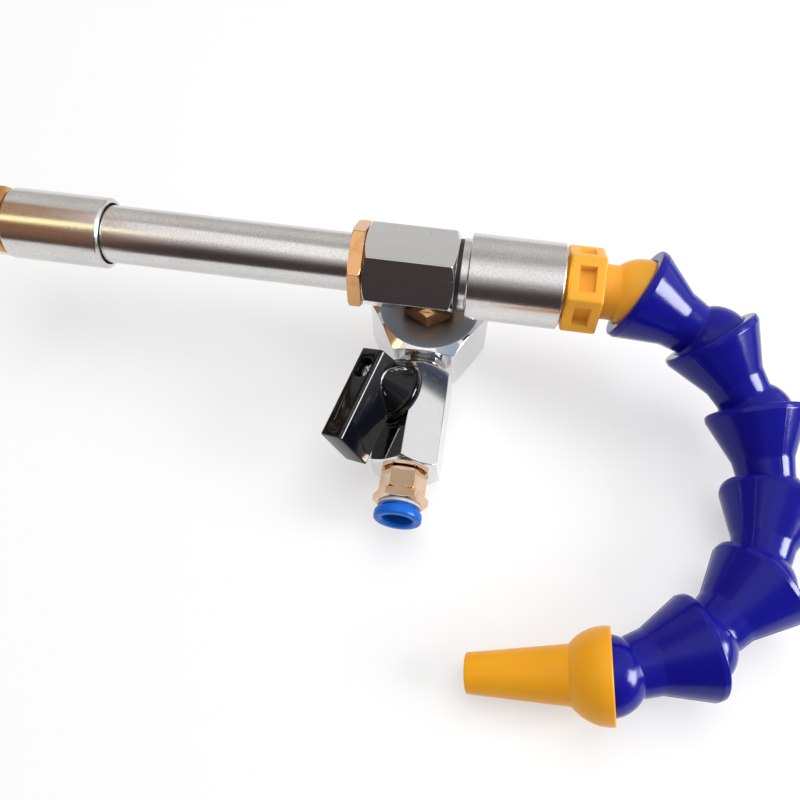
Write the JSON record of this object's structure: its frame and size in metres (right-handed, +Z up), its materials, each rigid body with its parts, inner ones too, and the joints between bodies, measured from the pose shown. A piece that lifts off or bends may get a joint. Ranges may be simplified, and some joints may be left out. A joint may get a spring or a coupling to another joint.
{
  "type": "vortex tube",
  "caption": "Vortex tube cold-air unit: hot tube with vent plug, hex chamber body, elbow with lever ball valve and push-in air inlet, jointed ball-and-socket outlet hose with a nozzle.",
  "frame": {"origin": "middle of the elbow block's underside, on the bench", "axes": "+X along the tube towards the cold end and hose, -Y out along the valve and air inlet, +Z up"},
  "size_m": [0.2351, 0.1212, 0.0492],
  "materials": {
    "turned_brass": "turned",
    "satin_steel": "satin",
    "bright_plate": "polished",
    "blue_plastic": "gloss",
    "orange_plastic": "gloss",
    "amber_plastic": "gloss",
    "black_plastic": "gloss",
    "collar_plastic": "gloss",
    "grey_plastic": "matte",
    "white_plastic": "matte",
    "seal_rubber": "matte"
  },
  "bodies": {
    "unit": {"hot_sleeve": "satin_steel", "hot_tube": "satin_steel", "tube_nut": "turned_brass", "chamber_body": "bright_plate", "vortex_generator": "turned_brass", "joint_seal": "seal_rubber", "cold_sleeve": "satin_steel", "hose_connector": "orange_plastic", "inlet_nipple": "turned_brass", "elbow_block": "bright_plate", "valve_body": "bright_plate", "valve_insert": "turned_brass", "seat_in": "white_plastic", "seat_out": "white_plastic", "stem_seal": "seal_rubber", "push_in_body": "turned_brass", "tube_seal": "seal_rubber", "grip_ring": "satin_steel", "guide_ring": "grey_plastic"},
    "hot_plug": {"hot_plug": "turned_brass"},
    "lever": {"valve_ball": "bright_plate", "valve_stem": "turned_brass", "handle": "black_plastic", "handle_screw": "satin_steel"},
    "collar": {"release_collar": "collar_plastic"},
    "link_1": {"hose_link_1": "blue_plastic"},
    "link_2": {"hose_link_2": "blue_plastic"},
    "link_3": {"hose_link_3": "blue_plastic"},
    "link_4": {"hose_link_4": "blue_plastic"},
    "link_5": {"hose_link_5": "blue_plastic"},
    "link_6": {"hose_link_6": "blue_plastic"},
    "nozzle": {"nozzle": "amber_plastic"}
  },
  "joints": [
    {"name": "hot_plug_turn", "type": "hinge", "parent": "unit", "child": "hot_plug", "pos_m": [-0.1186, 0, 0.0364], "axis": [1, 0, 0], "range_deg": [-180, 180]},
    {"name": "valve_lever", "type": "hinge", "parent": "unit", "child": "lever", "pos_m": [0, -0.0288, 0.01068], "axis": [-0.592, 0, 0.8059], "range_deg": [-70, 20]},
    {"name": "collar_press", "type": "slide", "parent": "unit", "child": "collar", "axis": [0, 1, 0], "range_m": [0, 0.0009], "stiffness_N_per_m": 400},
    {"name": "hose_bend_1", "type": "hinge", "parent": "unit", "child": "link_1", "pos_m": [0.0561, 0, 0.0364], "axis": [0, 0.6525, -0.7578], "range_deg": [-56.9, 6.1]},
    {"name": "hose_bend_2", "type": "hinge", "parent": "link_1", "child": "link_2", "pos_m": [0.07705, -0.00754, 0.0299], "axis": [-0.113, 0.4491, -0.8863], "range_deg": [-59.4, 3.6]},
    {"name": "hose_bend_3", "type": "hinge", "parent": "link_2", "child": "link_3", "pos_m": [0.09109, -0.02324, 0.02016], "axis": [-0.4045, 0.1932, -0.8939], "range_deg": [-59, 4]},
    {"name": "hose_bend_4", "type": "hinge", "parent": "link_3", "child": "link_4", "pos_m": [0.09618, -0.04478, 0.0132], "axis": [-0.575, 0.1254, -0.8085], "range_deg": [-62.2, 0.8]},
    {"name": "hose_bend_5", "type": "hinge", "parent": "link_4", "child": "link_5", "pos_m": [0.09124, -0.06745, 0.0132], "axis": [0, 0, -1], "range_deg": [-59.6, 3.4]},
    {"name": "hose_bend_6", "type": "hinge", "parent": "link_5", "child": "link_6", "pos_m": [0.0762, -0.08511, 0.0132], "axis": [0, 0, -1], "range_deg": [-56.5, 6.5]},
    {"name": "nozzle_bend", "type": "hinge", "parent": "link_6", "child": "nozzle", "pos_m": [0.05511, -0.09477, 0.0132], "axis": [0.2342, -0.5116, -0.8267], "range_deg": [-54.7, 8.3]}
  ]
}
